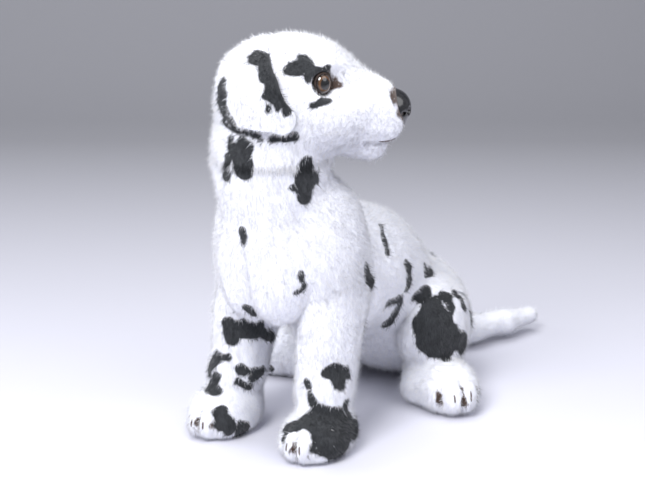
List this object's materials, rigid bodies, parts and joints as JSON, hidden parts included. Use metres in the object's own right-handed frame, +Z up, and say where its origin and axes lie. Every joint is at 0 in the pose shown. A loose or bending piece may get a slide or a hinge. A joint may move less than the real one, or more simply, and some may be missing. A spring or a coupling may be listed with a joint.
{
  "type": "plush dog",
  "caption": "Sitting spotted plush dog with a turning head, hinged floppy ears, sewn legs that swing and a tail that wags.",
  "frame": {"origin": "middle of the flat seat under the rump, on the surface that the dog sits on", "axes": "+Z up, -Y the way the body faces, +X the dog's own left"},
  "size_m": [0.1988, 0.3788, 0.294],
  "materials": {
    "plush_white": "short pile fur, matt with a soft sheen",
    "plush_black": "short pile fur dyed in round spots",
    "plush_brown": "short pile fur, sprayed brown at the eyes, lips and toes",
    "ear_lining": "brushed knit",
    "stuffing": "polyester fibre filling",
    "pouch_cloth": "plain woven cotton",
    "pellets": "small round plastic pellets",
    "joint_plastic": "moulded, natural white",
    "eye_amber": "clear gloss over an amber iris and a black pupil",
    "nose_black": "gloss moulded",
    "thread_brown": "twisted polyester thread"
  },
  "bodies": {
    "torso": {"torso_skin": "plush_white", "torso_stuffing": "stuffing", "pellet_pouch": "pouch_cloth", "pellet_fill": "pellets", "neck_washer": "joint_plastic"},
    "head": {"head_skin": "plush_white", "head_stuffing": "stuffing", "neck_disc": "joint_plastic", "neck_lock": "joint_plastic", "eye_left": "eye_amber", "eye_right": "eye_amber", "eye_washer_left": "joint_plastic", "eye_washer_right": "joint_plastic", "nose": "nose_black", "nose_washer": "joint_plastic", "mouth_thread": "thread_brown"},
    "ear_left": {"ear_left_outer": "plush_white", "ear_left_lining": "ear_lining"},
    "ear_right": {"ear_right_outer": "plush_white", "ear_right_lining": "ear_lining"},
    "front_leg_left": {"front_leg_left_skin": "plush_white", "front_leg_left_stuffing": "stuffing", "front_toes_left": "thread_brown"},
    "front_leg_right": {"front_leg_right_skin": "plush_white", "front_leg_right_stuffing": "stuffing", "front_toes_right": "thread_brown"},
    "hind_leg_left": {"hind_leg_left_skin": "plush_white", "hind_leg_left_stuffing": "stuffing", "hind_toes_left": "thread_brown"},
    "hind_leg_right": {"hind_leg_right_skin": "plush_white", "hind_leg_right_stuffing": "stuffing", "hind_toes_right": "thread_brown"},
    "tail": {"tail_skin": "plush_white", "tail_stuffing": "stuffing"}
  },
  "joints": [
    {"name": "neck_turn", "type": "hinge", "parent": "torso", "child": "head", "pos_m": [0, -0.18, 0.208], "axis": [0, 0, 1], "continuous": true},
    {"name": "ear_left_lift", "type": "hinge", "parent": "head", "child": "ear_left", "pos_m": [-0.01341, -0.15936, 0.28666], "axis": [0.8387, 0.5446, 0], "range_deg": [0, 85]},
    {"name": "ear_right_lift", "type": "hinge", "parent": "head", "child": "ear_right", "pos_m": [0.01341, -0.20064, 0.28666], "axis": [-0.8387, -0.5446, 0], "range_deg": [0, 85]},
    {"name": "front_leg_left_swing", "type": "hinge", "parent": "torso", "child": "front_leg_left", "pos_m": [0.0395, -0.157, 0.11], "axis": [1, 0, 0], "range_deg": [-25, 10], "stiffness_Nm_per_rad": 0.8},
    {"name": "front_leg_right_swing", "type": "hinge", "parent": "torso", "child": "front_leg_right", "pos_m": [-0.0395, -0.157, 0.11], "axis": [1, 0, 0], "range_deg": [-25, 10], "stiffness_Nm_per_rad": 0.8},
    {"name": "hind_leg_left_turn", "type": "hinge", "parent": "torso", "child": "hind_leg_left", "pos_m": [0.05, -0.038, 0.053], "axis": [1, 0, 0], "range_deg": [-20, 5], "stiffness_Nm_per_rad": 0.8},
    {"name": "hind_leg_right_turn", "type": "hinge", "parent": "torso", "child": "hind_leg_right", "pos_m": [-0.05, -0.038, 0.053], "axis": [1, 0, 0], "range_deg": [-20, 5], "stiffness_Nm_per_rad": 0.8},
    {"name": "tail_wag", "type": "hinge", "parent": "torso", "child": "tail", "pos_m": [0.008, 0.0526, 0.014], "axis": [0, 0, 1], "range_deg": [-30, 30], "stiffness_Nm_per_rad": 0.04}
  ]
}
